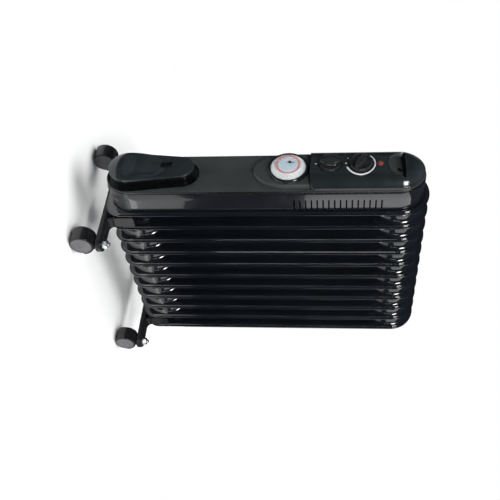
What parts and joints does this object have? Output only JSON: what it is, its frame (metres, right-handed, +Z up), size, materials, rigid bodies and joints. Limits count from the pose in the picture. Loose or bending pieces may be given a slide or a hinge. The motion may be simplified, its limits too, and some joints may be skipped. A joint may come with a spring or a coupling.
{
  "type": "oil filled radiator heater",
  "caption": "Upright oil filled electric radiator: tall black fins in a row, a front control housing with knobs, a timer and a cord wrap, on two feet with castors.",
  "frame": {"origin": "on the floor, under the middle of the bounding box", "axes": "+Z up, the control panel faces -Y, +X is to the right as seen from the front"},
  "size_m": [0.235, 0.4566, 0.6295],
  "materials": {
    "fin_enamel": "high gloss black enamel",
    "shroud_enamel": "gloss black enamel",
    "bracket_enamel": "gloss black enamel",
    "fascia_plastic": "satin black moulding",
    "pod_plastic": "satin black moulding",
    "knob_plastic": "satin black",
    "dark_plastic": "matt black",
    "dial_white": "satin white",
    "dial_centre": "pale blue white",
    "lamp_lens": "dull red translucent, unlit",
    "zinc": "bright zinc plate",
    "plain_steel": "plain",
    "element_steel": "plain",
    "plug_brass": "plain",
    "ceramic": "matt cream",
    "lead_sleeve": "matt",
    "castor_black": "satin black",
    "castor_wheel": "satin grey"
  },
  "bodies": {
    "radiator": {"fin_01": "fin_enamel", "fin_02": "fin_enamel", "fin_03": "fin_enamel", "fin_04": "fin_enamel", "fin_05": "fin_enamel", "fin_06": "fin_enamel", "fin_07": "fin_enamel", "fin_08": "fin_enamel", "fin_09": "fin_enamel", "fin_10": "fin_enamel", "fin_11": "fin_enamel", "header_tube_lower": "fin_enamel", "header_tube_upper": "fin_enamel", "heating_element": "element_steel", "oil_filler_plug": "plug_brass", "housing_shroud": "shroud_enamel", "housing_bottom_cover": "dark_plastic", "cable_gland": "dark_plastic", "heat_shield": "plain_steel", "front_fascia": "fascia_plastic", "control_pod": "pod_plastic", "pilot_lamp_lens": "lamp_lens", "timer_bezel": "pod_plastic", "timer_centre": "dial_centre", "cord_wrap": "fascia_plastic", "thermostat_body": "ceramic", "selector_switch_body": "dark_plastic", "timer_movement": "dark_plastic", "terminal_block": "ceramic", "thermal_cut_out": "plain_steel", "lead_inlet_to_terminals": "lead_sleeve", "lead_terminals_to_controls": "lead_sleeve", "foot_bracket_front": "bracket_enamel", "u_bolt_front": "zinc", "foot_bracket_rear": "bracket_enamel", "u_bolt_rear": "zinc", "wing_nut_front_left": "zinc", "castor_stem_front_left": "zinc", "wing_nut_front_right": "zinc", "castor_stem_front_right": "zinc", "wing_nut_rear_left": "zinc", "castor_stem_rear_left": "zinc", "wing_nut_rear_right": "zinc", "castor_stem_rear_right": "zinc"},
    "thermostat_knob": {"thermostat_knob": "knob_plastic"},
    "selector_knob": {"selector_knob": "knob_plastic"},
    "timer_dial": {"timer_dial": "dial_white"},
    "timer_override": {"timer_override_switch": "dark_plastic"},
    "castor_front_left": {"castor_hood_front_left": "castor_black"},
    "wheel_outer_front_left": {"castor_wheel_outer_front_left": "castor_wheel"},
    "wheel_inner_front_left": {"castor_wheel_inner_front_left": "castor_wheel"},
    "castor_front_right": {"castor_hood_front_right": "castor_black"},
    "wheel_outer_front_right": {"castor_wheel_outer_front_right": "castor_wheel"},
    "wheel_inner_front_right": {"castor_wheel_inner_front_right": "castor_wheel"},
    "castor_rear_left": {"castor_hood_rear_left": "castor_black"},
    "wheel_outer_rear_left": {"castor_wheel_outer_rear_left": "castor_wheel"},
    "wheel_inner_rear_left": {"castor_wheel_inner_rear_left": "castor_wheel"},
    "castor_rear_right": {"castor_hood_rear_right": "castor_black"},
    "wheel_outer_rear_right": {"castor_wheel_outer_rear_right": "castor_wheel"},
    "wheel_inner_rear_right": {"castor_wheel_inner_rear_right": "castor_wheel"}
  },
  "joints": [
    {"name": "thermostat_turn", "type": "hinge", "parent": "radiator", "child": "thermostat_knob", "pos_m": [0, -0.226, 0.5072], "axis": [0, 1, 0], "range_deg": [-75, 210]},
    {"name": "selector_turn", "type": "hinge", "parent": "radiator", "child": "selector_knob", "pos_m": [0, -0.226, 0.4553], "axis": [0, 1, 0], "range_deg": [0, 270]},
    {"name": "timer_turn", "type": "hinge", "parent": "radiator", "child": "timer_dial", "pos_m": [0, -0.212, 0.3835], "axis": [0, 1, 0], "continuous": true},
    {"name": "timer_override_slide", "type": "slide", "parent": "radiator", "child": "timer_override", "axis": [0, 0, 1], "range_m": [0, 0.0038]},
    {"name": "castor_swivel_front_left", "type": "hinge", "parent": "radiator", "child": "castor_front_left", "pos_m": [-0.103, -0.1275, 0.0345], "axis": [0, 0, 1], "continuous": true},
    {"name": "wheel_outer_spin_front_left", "type": "hinge", "parent": "castor_front_left", "child": "wheel_outer_front_left", "pos_m": [-0.103, -0.1395, 0.02], "axis": [1, 0, 0], "continuous": true},
    {"name": "wheel_inner_spin_front_left", "type": "hinge", "parent": "castor_front_left", "child": "wheel_inner_front_left", "pos_m": [-0.103, -0.1395, 0.02], "axis": [1, 0, 0], "continuous": true},
    {"name": "castor_swivel_front_right", "type": "hinge", "parent": "radiator", "child": "castor_front_right", "pos_m": [0.103, -0.1275, 0.0345], "axis": [0, 0, 1], "continuous": true},
    {"name": "wheel_outer_spin_front_right", "type": "hinge", "parent": "castor_front_right", "child": "wheel_outer_front_right", "pos_m": [0.103, -0.1395, 0.02], "axis": [1, 0, 0], "continuous": true},
    {"name": "wheel_inner_spin_front_right", "type": "hinge", "parent": "castor_front_right", "child": "wheel_inner_front_right", "pos_m": [0.103, -0.1395, 0.02], "axis": [1, 0, 0], "continuous": true},
    {"name": "castor_swivel_rear_left", "type": "hinge", "parent": "radiator", "child": "castor_rear_left", "pos_m": [-0.103, 0.2055, 0.0345], "axis": [0, 0, 1], "continuous": true},
    {"name": "wheel_outer_spin_rear_left", "type": "hinge", "parent": "castor_rear_left", "child": "wheel_outer_rear_left", "pos_m": [-0.103, 0.1935, 0.02], "axis": [1, 0, 0], "continuous": true},
    {"name": "wheel_inner_spin_rear_left", "type": "hinge", "parent": "castor_rear_left", "child": "wheel_inner_rear_left", "pos_m": [-0.103, 0.1935, 0.02], "axis": [1, 0, 0], "continuous": true},
    {"name": "castor_swivel_rear_right", "type": "hinge", "parent": "radiator", "child": "castor_rear_right", "pos_m": [0.103, 0.2055, 0.0345], "axis": [0, 0, 1], "continuous": true},
    {"name": "wheel_outer_spin_rear_right", "type": "hinge", "parent": "castor_rear_right", "child": "wheel_outer_rear_right", "pos_m": [0.103, 0.1935, 0.02], "axis": [1, 0, 0], "continuous": true},
    {"name": "wheel_inner_spin_rear_right", "type": "hinge", "parent": "castor_rear_right", "child": "wheel_inner_rear_right", "pos_m": [0.103, 0.1935, 0.02], "axis": [1, 0, 0], "continuous": true}
  ]
}
